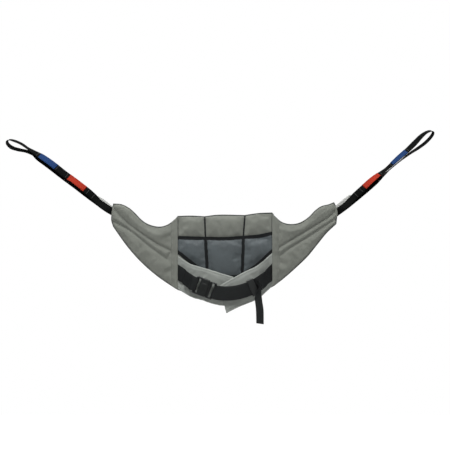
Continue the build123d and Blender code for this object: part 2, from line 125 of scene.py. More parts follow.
def inside(points, outline):
    """Which points lie inside a closed outline."""
    x, z = points[:, 0], points[:, 1]
    odd = np.zeros(len(points), bool)
    for (ax, az), (bx, bz) in zip(outline, np.roll(outline, -1, axis=0)):
        crosses = (az > z) != (bz > z)
        odd ^= crosses & (x < (bx - ax) * (z - az) / (bz - az + 1e-12) + ax)
    return odd


def distance(points, line):
    """Each point's distance to a line of short runs."""
    best = np.full(len(points), 1e9)
    for a, b in zip(line[:-1], line[1:]):
        ab = b - a
        t = np.clip(((points - a) @ ab) / max(ab @ ab, 1e-9), 0, 1)
        best = np.minimum(best, np.linalg.norm(points - a - t[:, None] * ab, axis=1))
    return best


def mesh_object(name, verts, faces, cloth=None):
    """A smooth mesh. cloth holds each vertex's place on the flat cloth, which the weaves follow."""
    mesh = bpy.data.meshes.new(name)
    mesh.from_pydata((np.asarray(verts, float) * MM).tolist(), [], [list(map(int, f)) for f in faces])
    if cloth is not None:
        values = mesh.attributes.new("cloth", "FLOAT_VECTOR", "POINT")
        values.data.foreach_set("vector", (np.asarray(cloth, np.float32) * MM).ravel())
    mesh.polygons.foreach_set("use_smooth", [True] * len(mesh.polygons))
    obj = bpy.data.objects.new(name, mesh)
    bpy.context.scene.collection.objects.link(obj)
    return obj


def verts_of(obj):
    co = np.empty(len(obj.data.vertices) * 3)
    obj.data.vertices.foreach_get("co", co)
    return co.reshape(-1, 3) / MM


def set_verts(obj, co):
    obj.data.vertices.foreach_set("co", (np.asarray(co) * MM).ravel())
    obj.data.update()


def baked(obj):
    """Apply every modifier."""
    shown = obj.evaluated_get(bpy.context.evaluated_depsgraph_get())
    mesh = bpy.data.meshes.new_from_object(shown, preserve_all_data_layers=True,
                                           depsgraph=bpy.context.evaluated_depsgraph_get())
    old = obj.data
    obj.modifiers.clear()
    obj.data = mesh
    bpy.data.meshes.remove(old)
    return obj


def smoothed(obj):
    """Subdivide once, for good."""
    smoother = obj.modifiers.new("smooth", "SUBSURF")
    smoother.levels = smoother.render_levels = 1
    return baked(obj)


def tree_of(obj):
    """A look-up of a piece's surface, in millimetres."""
    return BVHTree.FromPolygons([tuple(v) for v in verts_of(obj)],
                                [tuple(p.vertices) for p in obj.data.polygons])


def surface(tree, points, front=True):
    """The depth at which straight lines through (x, z) points meet a cushion's front or back."""
    inward = 1 if front else -1
    depths = []
    for x, z in points:
        hit = tree.ray_cast(Vector((x, -400 * inward, z)), Vector((0, inward, 0)))[0]
        depths.append(hit.y if hit else MID_Y)
    return np.array(depths)


def on_cushion(tree, line, lift, front=True):
    """A line drawn in X and Z, laid on a cushion."""
    y = surface(tree, line, front) + (-lift if front else lift)
    return np.stack([line[:, 0], y, line[:, 1]], axis=1)


# ---------------------------------------------------------------- cushions
ROW_GAP = 0.866                 # between rows of points, in pitches: the triangles come out equilateral
JITTER, CLEAR = 0.12, 0.62      # how far points are moved at random, and kept off the fixed lines, in pitches


def flat_mesh(outline, sewn, pitch):
    """Triangles that fill an outline, with edges along every sewn line."""
    fixed, edges = [outline], []
    count = len(outline)
    for line in sewn:
        edges += [(count + i, count + i + 1) for i in range(len(line) - 1)]
        fixed.append(line)
        count += len(line)
    fixed = np.vstack(fixed)
    low, high = outline.min(0), outline.max(0)
    rows = np.arange(low[1], high[1], pitch * ROW_GAP)
    grid = np.array([(x + (k % 2) * pitch / 2, z) for k, z in enumerate(rows)
                     for x in np.arange(low[0], high[0], pitch)])
    grid += rng.uniform(-JITTER, JITTER, grid.shape) * pitch
    grid = grid[inside(grid, outline)]
    near = np.min(np.linalg.norm(grid[:, None, :] - fixed[None], axis=2), axis=1)
    grid = grid[near > CLEAR * pitch]
    everything = np.vstack([fixed, grid])
    got = delaunay_2d_cdt([Vector(p) for p in everything], edges, [list(range(len(outline)))], 1, 0.05)
    return np.array([tuple(v) for v in got[0]]), [tuple(f) for f in got[2]]


def cushion(name, outline, sewn, pitch, half, edge, seam, reach, cap, region=None, bend=1.5):
    """A padded shape filled by cloth simulation: two sheets joined at the outline and at sewn lines.

    half gives half the thickness at points, edge and seam what is left of it at the outline and at the
    sewn lines, reach how quickly it recovers from them, and cap how far the air may move a point.
    """
    points, tris = flat_mesh(outline, sewn, pitch)
    to_rim = distance(points, np.vstack([outline, outline[:1]]))
    to_seam = np.min([distance(points, line) for line in sewn], axis=0)
    nearest = np.minimum(to_rim, to_seam)
    on_rim = to_rim < 0.2
    base = np.where(to_rim < to_seam, edge, seam)
    depth = base + (half(points) - base) * (1 - np.exp(-nearest / reach))
    depth[on_rim] = 0
    n = len(points)
    back = np.arange(n) + n
    back[on_rim] = np.where(on_rim)[0]
    kept = np.concatenate([np.arange(n), np.where(~on_rim)[0] + n])
    renumber = {int(k): i for i, k in enumerate(kept)}
    verts = np.zeros((2 * n, 3))
    verts[:n] = np.stack([points[:, 0], MID_Y - depth, points[:, 1]], axis=1)
    verts[n:] = np.stack([points[:, 0], MID_Y + depth, points[:, 1]], axis=1)
    faces, regions = [], []
    for a, b, c in tris:
        pa, pb, pc = points[a], points[b], points[c]
        turn = (pb[0] - pa[0]) * (pc[1] - pa[1]) - (pb[1] - pa[1]) * (pc[0] - pa[0])
        if turn < 0:
            b, c = c, b
        faces.append((a, b, c))
        regions.append(region((pa + pb + pc) / 3) if region else 0)
    faces += [(back[c], back[b], back[a]) for a, b, c in faces]
    regions += [0] * len(regions)
    faces = [[renumber[int(i)] for i in f] for f in faces]
    cloth = np.stack([verts[:, 0], verts[:, 2], verts[:, 1]], axis=1)
    obj = mesh_object(name, verts[kept], faces, cloth[kept])
    obj.data.attributes.new("region", "INT", "FACE").data.foreach_set("value", np.array(regions, np.int32))
    held = obj.vertex_groups.new(name="held")
    strength = np.concatenate([nearest, nearest])[kept]
    for i in np.where(strength < 0.3)[0]:
        held.add([int(i)], 1.0, "REPLACE")
    fill_with_air(obj, cap, bend)
    return smoothed(obj)


def eased(obj, move, rounds):
    """Share each vertex's move with its neighbours: it takes out creases finer than the cloth would hold."""
    ends = np.empty(2 * len(obj.data.edges), np.int32)
    obj.data.edges.foreach_get("vertices", ends)
    a, b = ends.reshape(-1, 2).T
    count = np.bincount(ends, minlength=len(move))[:, None]
    still = np.linalg.norm(move, axis=1) < 1e-4
    for _ in range(rounds):
        total = np.zeros_like(move)
        np.add.at(total, a, move[b])
        np.add.at(total, b, move[a])
        move = (move + total / np.maximum(count, 1)) / 2
        move[still] = 0
    return move


AIR_PRESSURE, CLOTH_GROWTH = 4.0, 0.03
CLOTH_FRAMES = 20


def fill_with_air(obj, cap, bend):
    """Blow the cushion up as cloth held at its seams, and keep the result."""
    before = verts_of(obj)
    cloth = obj.modifiers.new("cloth", "CLOTH")
    s = cloth.settings
    s.quality = 6
    s.mass = 0.3
    s.tension_stiffness = s.compression_stiffness = 15
    s.shear_stiffness = 6
    s.bending_stiffness = bend
    s.use_pressure = True
    s.uniform_pressure_force = AIR_PRESSURE
    s.shrink_min = -CLOTH_GROWTH
    s.vertex_group_mass = "held"
    s.effector_weights.gravity = 0
    cloth.collision_settings.use_collision = False
    cloth.point_cache.frame_start = 1
    cloth.point_cache.frame_end = CLOTH_FRAMES + 4
    scene = bpy.context.scene
    for number in range(1, CLOTH_FRAMES + 1):
        scene.frame_set(number)
    shown = obj.evaluated_get(bpy.context.evaluated_depsgraph_get())
    after = np.empty(len(shown.data.vertices) * 3)
    shown.data.vertices.foreach_get("co", after)
    after = after.reshape(-1, 3) / MM
    obj.modifiers.remove(cloth)
    scene.frame_set(1)
    move = eased(obj, after - before, 2)
    size = np.linalg.norm(move, axis=1, keepdims=True)
    set_verts(obj, before + move * np.minimum(1, cap / np.maximum(size, 1e-9)))


def part_of(obj, name, region, lift, thick):
    """A separate thin layer over one region of a cushion's front."""
    co = verts_of(obj)
    normals = np.empty(len(co) * 3)
    obj.data.vertices.foreach_get("normal", normals)
    normals = normals.reshape(-1, 3)
    regions = np.empty(len(obj.data.polygons), np.int32)
    obj.data.attributes["region"].data.foreach_get("value", regions)
    polys = [tuple(p.vertices) for p, r in zip(obj.data.polygons, regions) if r == region]
    used = sorted({i for p in polys for i in p})
    renumber = {v: i for i, v in enumerate(used)}
    top = co[used] + normals[used] * (lift + thick)
    under = co[used] + normals[used] * lift
    faces = [[renumber[i] for i in p] for p in polys]
    count = {}
    for p in faces:
        for a, b in zip(p, p[1:] + p[:1]):
            count[(a, b)] = count.get((a, b), 0) + 1
    n = len(used)
    sides = [(b, a, a + n, b + n) for a, b in count if (b, a) not in count]
    flipped = [[i + n for i in reversed(p)] for p in faces]
    cloth = np.stack([co[used][:, 0], co[used][:, 2], co[used][:, 1]], axis=1)
    return mesh_object(name, np.vstack([top, under]), faces + flipped + sides, np.vstack([cloth, cloth]))


# ---------------------------------------------------------------- tapes, webbing, piping and thread
EDGE_BULGE = 0.6                # how far a strip's edges round out, as a share of half its thickness


def band(name, grid, thick, along=None, across=None):
    """A closed strip: grid holds its middle surface, rows along it and columns across it."""
    rows, cols = grid.shape[:2]
    t_along = unit(np.gradient(grid, axis=0))
    t_across = unit(np.gradient(grid, axis=1))
    normal = unit(np.cross(t_across, t_along))
    width = np.linalg.norm(grid[:, -1] - grid[:, 0], axis=1)
    if along is None:
        along = lengths(grid[:, cols // 2])
    if across is None:
        across = np.linspace(-0.5, 0.5, cols) * width.mean()
    profile = np.sqrt(np.clip(1 - (np.abs(np.linspace(-1, 1, cols)) ** 8), 0.12, 1))
    up = grid + normal * (thick / 2) * profile[None, :, None]
    down = grid - normal * (thick / 2) * profile[None, :, None]
    left = grid[:, :1] - t_across[:, :1] * thick * EDGE_BULGE / 2
    right = grid[:, -1:] + t_across[:, -1:] * thick * EDGE_BULGE / 2
    ring = np.concatenate([up, right, down[:, ::-1], left], axis=1)
    m = ring.shape[1]
    verts = ring.reshape(-1, 3)
    faces = []
    for i in range(rows - 1):
        for j in range(m):
            k = (j + 1) % m
            faces.append((i * m + j, i * m + k, (i + 1) * m + k, (i + 1) * m + j))
    for i, order in ((0, -1), (rows - 1, 1)):
        for j in range(cols - 1):
            quad = (i * m + j, i * m + j + 1, i * m + m - 3 - j, i * m + m - 2 - j)
            faces.append(quad[::order])
        faces.append((i * m + cols - 1, i * m + cols, i * m + cols + 1)[::order])
        faces.append((i * m + m - 2, i * m + m - 1, i * m)[::order])
    t = np.concatenate([across, [across[-1]], across[::-1], [across[0]]])
    side = np.concatenate([np.ones(cols), [0], -np.ones(cols), [0]])
    cloth = np.stack([np.repeat(along, m), np.tile(t, rows), np.tile(side, rows)], axis=1)
    return mesh_object(name, verts, faces, cloth)


def ribbon_path(keys, step=4.0):
    """Evenly spaced points along keys of (point, direction across), and the direction across at each."""
    dense = through([key[0] for key in keys])
    turns = np.array([key[1] for key in keys], float)
    line = even(dense, step)
    at = lengths(line) * lengths(dense)[-1] / lengths(line)[-1]
    side = read_at(at, lengths(dense)[::RUN_STEPS], turns)
    t = tangents(line)
    return line, unit(side - t * (side * t).sum(1, keepdims=True))


def strip(name, path, width, thick, cols=7, lift=0.0):
    """Webbing that follows a ribbon's path, lifted off it towards its front."""
    line, side = path
    normal = unit(np.cross(side, tangents(line)))
    offs = np.linspace(-0.5, 0.5, cols) * width
    grid = line[:, None] + side[:, None] * offs[None, :, None] + normal[:, None] * lift
    return band(name, grid, thick, lengths(line), offs)


def stretch(path, start, stop):
    """The part of a path between two lengths along it."""
    line, side = path
    at = lengths(line)
    want = np.linspace(start, stop, max(3, int((stop - start) / 3)))
    return read_at(want, at, line), read_at(want, at, side)


DIP_RUN = 15.0                  # the length over which webbing dips back into a side seam


def trimmed(obj, x, rise=0.0, dip=0.0):
    """Cut a strip's ends along the side seams.

    The strip rises so much for each millimetre outwards, and its last DIP_RUN bends back by the dip.
    """
    co = verts_of(obj)
    out = np.abs(co[:, 0])
    co[:, 1] += dip * np.clip((out - x) / DIP_RUN + 1, 0, 1) ** 2
    co[:, 2] -= rise * np.maximum(out - x, 0)
    co[:, 0] = np.clip(co[:, 0], -x, x)
    set_verts(obj, co)
    return obj


LAID_COLS, LAID_SOFTEN = 5, 0.5


def laid(tree, line, width, lift):
    """A grid that lies on a cushion's front along a line drawn in X and Z, evened out across and along."""
    offs = np.linspace(-0.5, 0.5, LAID_COLS) * width
    flat = np.stack([beside(line, off) for off in offs], axis=1)
    y = surface(tree, flat.reshape(-1, 2)).reshape(flat.shape[:2])
    y = y * (1 - LAID_SOFTEN) + y.mean(axis=1, keepdims=True) * LAID_SOFTEN
    pad = np.pad(y, ((2, 2), (0, 0)), mode="edge")
    y = (pad[:-4] + pad[1:-3] * 2 + pad[2:-2] * 3 + pad[3:-1] * 2 + pad[4:]) / 9
    return np.stack([flat[:, :, 0], y - lift, flat[:, :, 1]], axis=2)


TUBE_SIDES = 8


def tube(name, line, radius):
    """A round piping along a line, closed at both ends."""
    side = unit(np.cross(tangents(line), [0, 1, 0]))
    other = unit(np.cross(tangents(line), side))
    a = np.arange(TUBE_SIDES) * 2 * math.pi / TUBE_SIDES
    ring = line[:, None] + radius * (np.cos(a)[None, :, None] * side[:, None]
                                     + np.sin(a)[None, :, None] * other[:, None])
    n = len(line)
    faces = []
    for i in range(n - 1):
        here, ahead = i * TUBE_SIDES, (i + 1) * TUBE_SIDES
        for j in range(TUBE_SIDES):
            m = (j + 1) % TUBE_SIDES
            faces.append((here + j, here + m, ahead + m, ahead + j))
    faces.append(tuple(reversed(range(TUBE_SIDES))))
    faces.append(tuple((n - 1) * TUBE_SIDES + j for j in range(TUBE_SIDES)))
    cloth = np.stack([np.repeat(lengths(line), TUBE_SIDES), np.tile(a * radius, n),
                      np.zeros(n * TUBE_SIDES)], axis=1)
    return mesh_object(name, ring.reshape(-1, 3), faces, cloth)


def piping(name, line, radius, body):
    """Grey piping in the middle plane along a line drawn in X and Z, riding on a body."""
    path = np.stack([line[:, 0], np.full(len(line), MID_Y), line[:, 1]], axis=1)
    # Dark grey: partly the tape's own colour, partly painted shade along the edge.
    made = dress(tube(name, path, radius), "dark_grey_binding")
    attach(made, body)
    return made


class Thread:
    """Rows of stitches, gathered into one piece for each body."""

    def __init__(self):
        self.verts, self.faces, self.cloth = [], [], []

    def row(self, line, out, pitch=4.0, run=2.7, thick=0.38):
        """Stitches along a 3D line; out is the direction away from the cloth at each point."""
        at = lengths(line)
        starts = np.arange(pitch / 2, at[-1] - pitch / 2, pitch)
        mid = read_at(starts, at, line)
        way = unit(read_at(starts, at, tangents(line)))
        up = unit(read_at(starts, at, np.broadcast_to(out, line.shape)))
        side = unit(np.cross(up, way))
        for m, w, u, s in zip(mid, way, up, side):
            self.stitch(m, w, u, s, run, thick)

    def sew(self, tree, line, lift, front=True, **look):
        """Stitches along a line drawn in X and Z, laid on a cushion."""
        self.row(on_cushion(tree, line, lift, front), (0, -1 if front else 1, 0), **look)

    def stitch(self, m, w, u, s, run, thick):
        """One stitch at m: w points along it, u away from the cloth and s across it."""
        first = len(self.verts)
        self.verts += [m - w * run / 2 - u * thick, m + w * run / 2 - u * thick]
        for at, size in ((-0.3, 0.85), (0.0, 1.1), (0.3, 0.85)):
            c = m + w * run * at
            self.verts += [c + way * thick * size for way in (s, u, -s, -u)]
        for ring in range(2):
            a, b = first + 2 + ring * 4, first + 6 + ring * 4
            for j in range(4):
                k = (j + 1) % 4
                self.faces.append((a + j, a + k, b + k, b + j))
        for j in range(4):
            k = (j + 1) % 4
            self.faces.append((first, first + 2 + k, first + 2 + j))
            self.faces.append((first + 1, first + 10 + j, first + 10 + k))
        self.cloth += [m] * 14

    def done(self, name):
        return mesh_object(name, np.array(self.verts), self.faces, np.array(self.cloth))


# ---------------------------------------------------------------- materials
def new_material(name, color, rough, sheen=0.0, specular=0.5):
    mat = bpy.data.materials.new(name)
    mat.use_nodes = True
    shader = mat.node_tree.nodes["Principled BSDF"]
    for key, value in (("Base Color", (*color, 1)), ("Roughness", rough), ("Sheen Weight", sheen),
                       ("Sheen Roughness", 0.5), ("Specular IOR Level", specular)):
        shader.inputs[key].default_value = value
    return mat, mat.node_tree, shader


def node(tree, kind, inputs=(), **settings):
    """A shader node. Each input is a plain value, or the socket that feeds it."""
    made = tree.nodes.new(kind)
    for key, value in settings.items():
        setattr(made, key, value)
    for key, value in dict(inputs).items():
        if isinstance(value, bpy.types.NodeSocket):
            tree.links.new(value, made.inputs[key])
        else:
            made.inputs[key].default_value = value
    return made


def math_node(tree, op, a, b=0.0):
    return node(tree, "ShaderNodeMath", {0: a, 1: b}, operation=op).outputs[0]


def vector_node(tree, op, a, b):
    return node(tree, "ShaderNodeVectorMath", {0: a, 1: b}, operation=op).outputs[0]


def weighted(tree, *parts):
    """The sum of values, each times its weight."""
    total = math_node(tree, "MULTIPLY", *parts[0])
    for part in parts[1:]:
        total = math_node(tree, "ADD", total, math_node(tree, "MULTIPLY", *part))
    return total


def in_mm(tree, vector):
    return vector_node(tree, "MULTIPLY", vector, (1000, 1000, 1000))


def cloth_coords(tree):
    """The cloth's own flat coordinates, in millimetres."""
    return in_mm(tree, node(tree, "ShaderNodeAttribute", attribute_name="cloth").outputs["Vector"])


def noise(tree, coords, scale, detail, rough=0.5):
    inputs = {"Vector": coords, "Scale": scale, "Detail": detail, "Roughness": rough}
    return node(tree, "ShaderNodeTexNoise", inputs)


MIX_A, MIX_B, MIX_COLOR = 6, 7, 2       # the colour sockets of Blender's Mix node


def mixed(tree, factor, a, b, blend="MIX"):
    made = node(tree, "ShaderNodeMix", {0: factor}, data_type="RGBA", blend_type=blend)
    for key, value in ((MIX_A, a), (MIX_B, b)):
        if isinstance(value, bpy.types.NodeSocket):
            tree.links.new(value, made.inputs[key])
        else:
            made.inputs[key].default_value = (*value, 1)
    return made.outputs[MIX_COLOR]


def ranged(tree, value, a, b, c, d):
    """The value moved from the range a to b onto the range c to d."""
    ends = {"From Min": a, "From Max": b, "To Min": c, "To Max": d}
    return node(tree, "ShaderNodeMapRange", {"Value": value, **ends}).outputs[0]


def shade(color, k):
    return tuple(min(1.0, c * k) for c in color)


def add_bump(tree, shader, height, strength, distance):
    bumped = node(tree, "ShaderNodeBump", {"Height": height, "Strength": strength, "Distance": distance})
    tree.links.new(bumped.outputs[0], shader.inputs["Normal"])


def finish_material(tree, shader, color, height, bump, weave_shade, coords, rough, soil=0.10):
    """Colour that is lighter on the yarn crowns and darker in the weave's hollows (painted light and shade)
    and varies at random in broad patches, and bump from the weave.
    """
    broad = noise(tree, coords, 0.018, 4.0, 0.6).outputs[0]
    fine = noise(tree, coords, 0.9, 3.0).outputs[0]
    # The weave's hollows are painted darker and its crowns lighter: painted shade and light on the weave.
    woven = mixed(tree, ranged(tree, height, 0, 1, 0, 1), shade(color, 1 - weave_shade), shade(color, 1 + weave_shade))
    patch = ranged(tree, broad, 0.3, 0.7, 1 - soil, 1 + soil)
    speck = ranged(tree, fine, 0.3, 0.7, 0.96, 1.04)
    both = math_node(tree, "MULTIPLY", patch, speck)
    grey = node(tree, "ShaderNodeCombineColor", {0: both, 1: both, 2: both}).outputs[0]
    tree.links.new(mixed(tree, 1.0, woven, grey, "MULTIPLY"), shader.inputs["Base Color"])
    add_bump(tree, shader, height, bump, 0.0004)
    tree.links.new(ranged(tree, fine, 0.3, 0.7, *rough), shader.inputs["Roughness"])


def sine(tree, value, period):
    """0 to 1 along value, once a period."""
    wave = math_node(tree, "SINE", math_node(tree, "MULTIPLY", value, 2 * math.pi / period))
    return ranged(tree, wave, -1, 1, 0, 1)


def split(tree, vector):
    return node(tree, "ShaderNodeSeparateXYZ", {0: vector}).outputs[:3]


def wobble(tree, coords, amount, scale):
    """Coordinates disturbed a little, so that no weave is perfectly even."""
    centred = vector_node(tree, "SUBTRACT", noise(tree, coords, scale, 2.0).outputs["Color"], (0.5, 0.5, 0.5))
    sized = vector_node(tree, "MULTIPLY", centred, (amount, amount, amount))
    return vector_node(tree, "ADD", coords, sized)


def woven_fabric(name, color, yarn=1.0):
    """Plain woven cover cloth: yarns over and under each other both ways."""
    mat, tree, shader = new_material(name, color, 0.85, sheen=0.25, specular=0.3)
    coords = cloth_coords(tree)
    x, z, _ = split(tree, wobble(tree, coords, 0.5, 0.25))
    halves = [sine(tree, math_node(tree, "ADD", value, yarn / 2), 2 * yarn) for value in (x, z)]
    over = math_node(tree, "MULTIPLY", *halves)
    height = weighted(tree, (sine(tree, x, yarn), 0.35), (sine(tree, z, yarn), 0.35), (over, 0.3))
    finish_material(tree, shader, color, height, 0.25, 0.09, coords, (0.78, 0.92))
    return mat


def spacer_mesh(name, color, pitch=3.4):
    """Knitted mesh with rows of hexagonal openings."""
    mat, tree, shader = new_material(name, color, 0.6, sheen=0.2, specular=0.4)
    coords = cloth_coords(tree)
    moved = wobble(tree, coords, 0.8, 0.12)
    turns = 2 * math.pi / (pitch * 0.866)
    waves = []
    for degrees in (0, 60, 120):
        way = (math.cos(math.radians(degrees)), math.sin(math.radians(degrees)), 0)
        dot = node(tree, "ShaderNodeVectorMath", {0: moved, 1: way}, operation="DOT_PRODUCT").outputs["Value"]
        waves.append(math_node(tree, "COSINE", math_node(tree, "MULTIPLY", dot, turns)))
    yarn = ranged(tree, weighted(tree, *((wave, 1.0) for wave in waves)), 1.6, -0.6, 0, 1)
    x, z, _ = split(tree, coords)
    knit = sine(tree, math_node(tree, "ADD", x, math_node(tree, "PINGPONG", z, 0.9)), 0.8)
    height = weighted(tree, (yarn, 0.8), (knit, 0.2))
    # The openings take the darkest colour: painted shade inside the holes.
    finish_material(tree, shader, color, height, 0.6, 0.55, coords, (0.5, 0.75), soil=0.16)
    return mat


def webbing(name, color, specular=0.22, weave_shade=0.14, chevron=5.0, rib=1.5):
    """Herringbone webbing: slanted yarns that meet in rows along its length."""
    mat, tree, shader = new_material(name, color, 0.6, specular=specular)
    coords = cloth_coords(tree)
    s, t, _ = split(tree, wobble(tree, coords, 0.25, 0.3))
    zigzag = math_node(tree, "PINGPONG", math_node(tree, "ADD", t, 100.0), chevron)
    yarns = sine(tree, math_node(tree, "ADD", s, zigzag), rib)
    height = weighted(tree, (yarns, 0.75), (sine(tree, t, 2.5), 0.25))
    finish_material(tree, shader, color, height, 0.4, weave_shade, coords, (0.6, 0.78))
    return mat


def ribbed_tape(name, color, sheen=0.2, rib=1.1):
    """Folded binding tape, ribbed along its length."""
    mat, tree, shader = new_material(name, color, 0.75, sheen=sheen, specular=0.18)
    coords = cloth_coords(tree)
    s, t, _ = split(tree, wobble(tree, coords, 0.3, 0.3))
    height = weighted(tree, (sine(tree, s, rib), 0.5), (sine(tree, t, 0.9), 0.5))
    finish_material(tree, shader, color, height, 0.4, 0.18, coords, (0.65, 0.85))
    return mat


def thread(name, color, sheen=0.3):
    mat, tree, shader = new_material(name, color, 0.55, sheen=sheen, specular=0.2)
    coords = cloth_coords(tree)
    height = sine(tree, weighted(tree, *((value, 1.0) for value in split(tree, coords))), 0.5)
    finish_material(tree, shader, color, height, 0.3, 0.2, coords, (0.5, 0.65))
    return mat


def moulded(name, color):
    """Moulded plastic with a fine spark grain and handling marks in broad patches."""
    mat, tree, shader = new_material(name, color, 0.42, specular=0.4)
    coords = in_mm(tree, node(tree, "ShaderNodeTexCoord").outputs["Object"])
    grain = noise(tree, coords, 2.4, 5.0, 0.7).outputs[0]
    worn = ranged(tree, noise(tree, coords, 0.12, 6.0, 0.75).outputs[0], 0.45, 0.75, 0, 1)
    tree.links.new(mixed(tree, worn, color, shade(color, 1.7)), shader.inputs["Base Color"])
    tree.links.new(ranged(tree, grain, 0.3, 0.7, 0.34, 0.5), shader.inputs["Roughness"])
    add_bump(tree, shader, grain, 0.12, 0.0003)
    return mat


GREY = (0.124, 0.131, 0.114)
LIGHT = (0.205, 0.219, 0.202)
MATS = {
    "grey_fabric": woven_fabric("grey cover cloth", GREY),
    "light_grey_fabric": woven_fabric("light grey belt cloth", LIGHT),
    # The piping and seam tape are dark partly as their own tape and partly as painted shade along the edges.
    "dark_grey_binding": ribbed_tape("edge piping tape with painted edge shade", (0.042, 0.045, 0.041)),
    "spacer_mesh": spacer_mesh("spacer mesh cloth", (0.044, 0.054, 0.058)),
    "black_tape": ribbed_tape("black binding tape", (0.005, 0.006, 0.0065), sheen=0.0),
    "black_webbing": webbing("black webbing", (0.0045, 0.0056, 0.0058)),
    # The straps' webbing is a darker copy of the black webbing: painted shade on the straps.
    "strap_webbing": webbing("black webbing darkened for painted shade on straps", (0.0011, 0.0014, 0.0013), specular=0.04),
    "white_webbing": webbing("white webbing", (0.34, 0.345, 0.33), weave_shade=0.1),
    "red_webbing": webbing("red webbing", (0.22, 0.014, 0.004), specular=0.1, weave_shade=0.12),
    "blue_webbing": webbing("blue webbing", (0.004, 0.022, 0.08), specular=0.1, weave_shade=0.12),
    "black_thread": thread("black thread", (0.004, 0.004, 0.004), sheen=0.02),
    "grey_thread": thread("grey thread", (0.06, 0.064, 0.058)),
    "black_plastic": moulded("black moulded plastic", (0.0065, 0.0078, 0.0074)),
}


def dress(obj, mat):
    """Give a piece its material, and the slot that goes with it."""
    obj.data.materials.clear()
    obj.data.materials.append(MATS[mat])
    return obj


# ---------------------------------------------------------------- stage
def stage():
    """A pale floor, a white surround, soft lights, and the camera level with the middle of the object."""
    corners = [(-1700, -1000, -950), (1700, -1000, -950), (1700, 2000, -950), (-1700, 2000, -950)]
    floor = mesh_object("floor", corners, [(0, 1, 2, 3)])
    pale, _, shader = new_material("pale floor", (0.9, 0.9, 0.9), 0.9, specular=0.1)
    shader.inputs["Emission Color"].default_value = (1, 1, 1, 1)
    shader.inputs["Emission Strength"].default_value = 0.6
    floor.data.materials.append(pale)

    world = bpy.data.worlds.new("studio")
    bpy.context.scene.world = world
    world.use_nodes = True
    tree = world.node_tree
    background = tree.nodes["Background"]
    background.inputs["Color"].default_value = (1, 1, 1, 1)
    seen = tree.nodes.new("ShaderNodeLightPath").outputs["Is Camera Ray"]
    tree.links.new(ranged(tree, seen, 0, 1, 0.12, 1.0), background.inputs["Strength"])

    for name, place, size, power in (
        ("key", (-0.5, -1.5, 2.4), 0.8, 105),
        ("fill", (1.2, -3.4, 0.8), 1.2, 26),
        ("top", (0.2, -0.3, 2.4), 0.9, 46),
        ("back", (0.6, 2.6, 1.6), 2.0, 30),
    ):
        light = bpy.data.lights.new(name, "AREA")
        light.energy, light.size = power, size
        lamp = bpy.data.objects.new(name, light)
        lamp.location = place
        lamp.rotation_euler = (Vector((0, 0, 0)) - Vector(place)).to_track_quat("-Z", "Y").to_euler()
        bpy.context.scene.collection.objects.link(lamp)

    camera = bpy.data.cameras.new("camera")
    camera.lens, camera.sensor_width = 85, 36
    eye = bpy.data.objects.new("camera", camera)
    eye.location = (0, -3.93, 0.1147)
    eye.rotation_euler = (math.radians(90), 0, 0)
    bpy.context.scene.collection.objects.link(eye)
    bpy.context.scene.camera = eye
    bpy.context.scene.view_settings.view_transform = "Standard"


# ---------------------------------------------------------------- back panel
PANEL_EDGE = 175.0
PANEL_CORNERS = {"left": (146.0, -123.0), "right": (159.0, -112.0)}     # heights at the panel's edges
# The last width is the black strip along each channel in the top band: a dark seam, and painted shade in the
# groove.
BINDING, CHANNEL_TAPE, CHANNEL_SEAM_AND_SHADE = 12.0, 12.5, 5.2    # widths of the panel's tapes
TAPE_STITCHES = dict(pitch=3.4, run=2.3)
MESH_TOP_LINE = spline([(-176, 68), (-70, 65), (0, 64), (70, 69), (120, 73), (176, 84)], 5)
MESH_LOW_LINE = spline([(-176, 19), (-128, -20), (-62, -67), (0, -79), (62, -68), (122, -29), (176, 22)], 5)
CHANNELS = (
    spline([(-75, 150), (-72, 68), (-66, -40), (-66, -154)], 5),
    spline([(74, 156), (68, 70), (64, -50), (64, -154)], 5),
)


def mesh_region(point):
    """1, 2 or 3 for the left, middle and right mesh, and 0 elsewhere."""
    x, z = point
    if not np.interp(x, *MESH_LOW_LINE.T) < z < np.interp(x, *MESH_TOP_LINE.T):
        return 0
    return 1 + sum(x > np.interp(-z, -line[:, 1], line[:, 0]) for line in CHANNELS)


